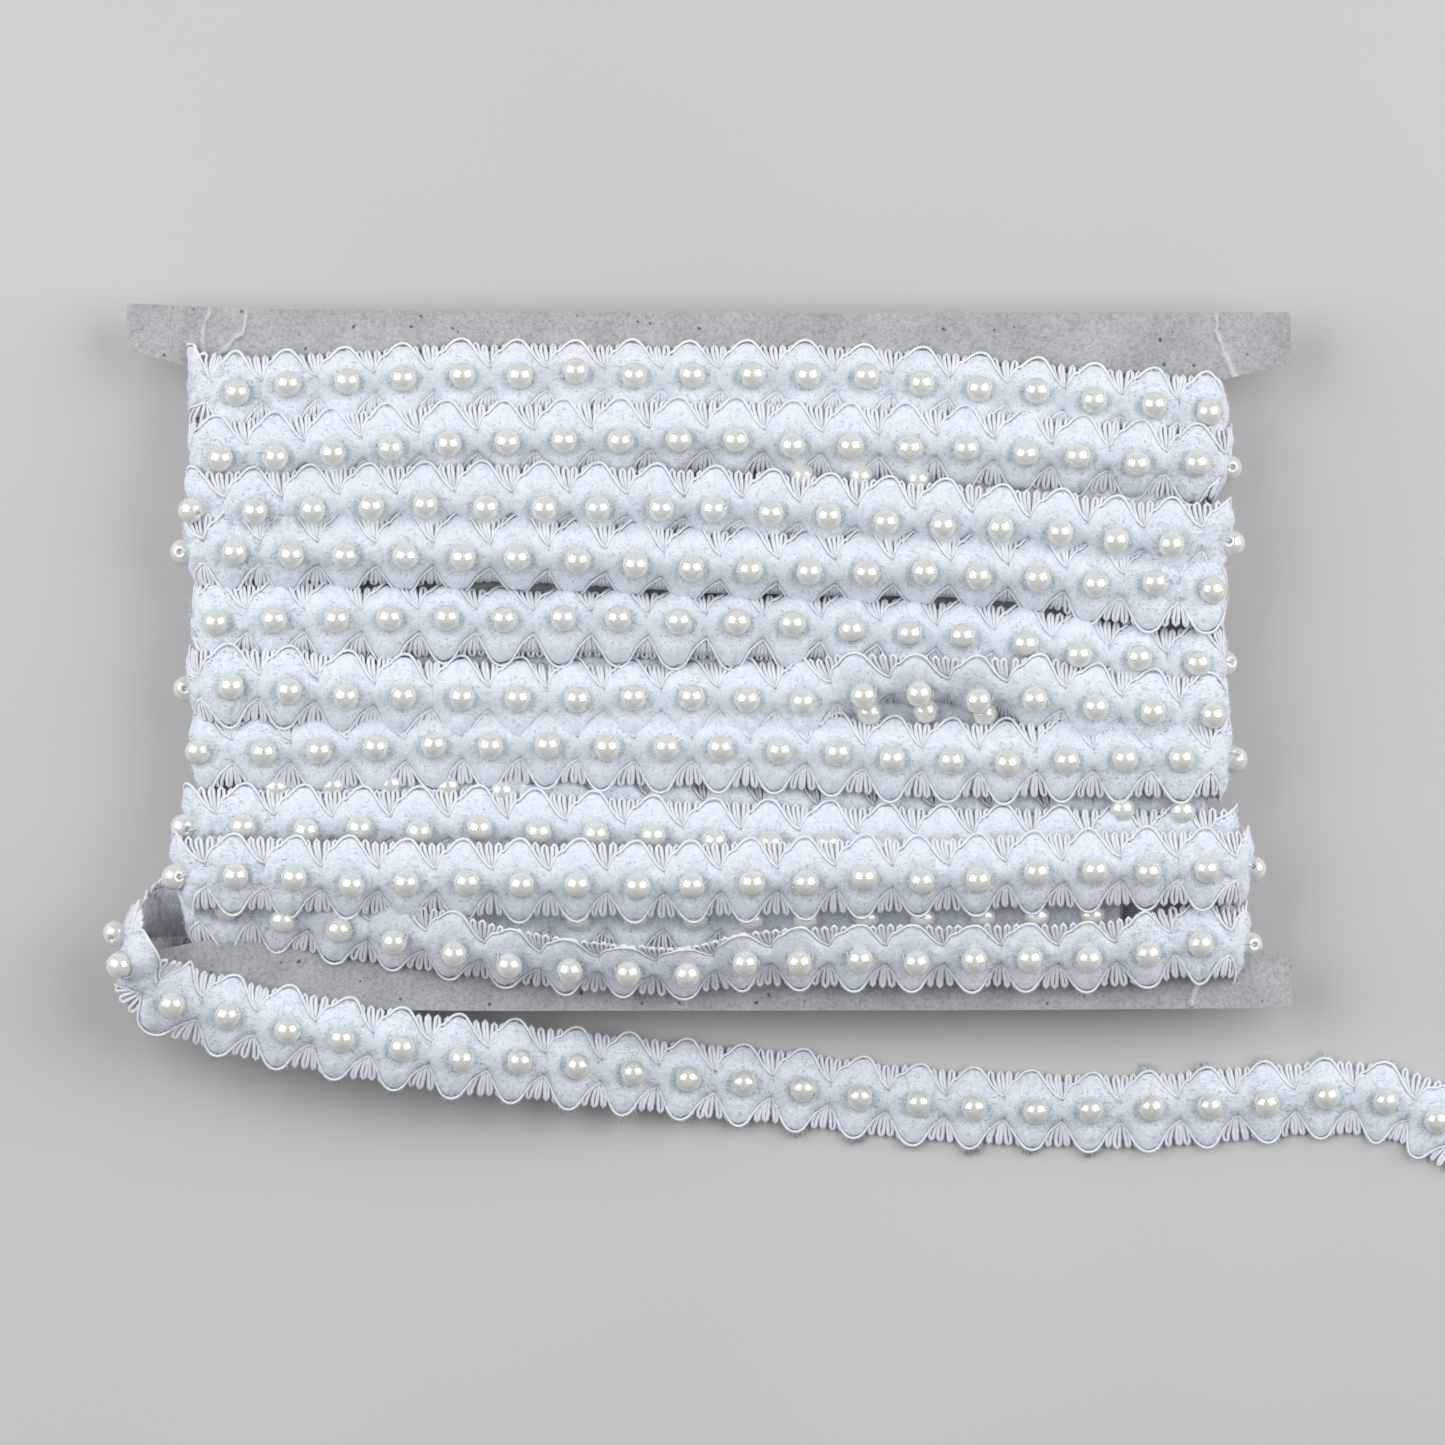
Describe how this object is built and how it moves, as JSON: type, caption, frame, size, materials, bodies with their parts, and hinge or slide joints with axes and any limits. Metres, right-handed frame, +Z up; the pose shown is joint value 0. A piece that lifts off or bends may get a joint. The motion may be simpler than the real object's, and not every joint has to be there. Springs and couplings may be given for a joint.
{
  "type": "scalloped pearl braid trim wound on a cardboard card",
  "caption": "White scalloped plush braid with round pearls, wound in lapping rows on a flat grey card with flared ends, its loose end looping over one end and lying beside it.",
  "frame": {"origin": "middle of the base of the whole part, on the surface it lies on", "axes": "+Z up out of the card's face, +X along the wound rows towards the loose end's cut end, +Y up the card away from the loose end"},
  "size_m": [0.3106, 0.1956, 0.0287],
  "materials": {
    "card": "uncoated grey board with fine fibres and dark specks",
    "plush": "short cool white chenille pile",
    "gimp": "white satin cord and looped gimp thread",
    "pearl": "ivory pearl coat"
  },
  "bodies": {
    "root": {"card": "card", "wound_trim": "plush", "loose_end": "plush"}
  },
  "joints": []
}
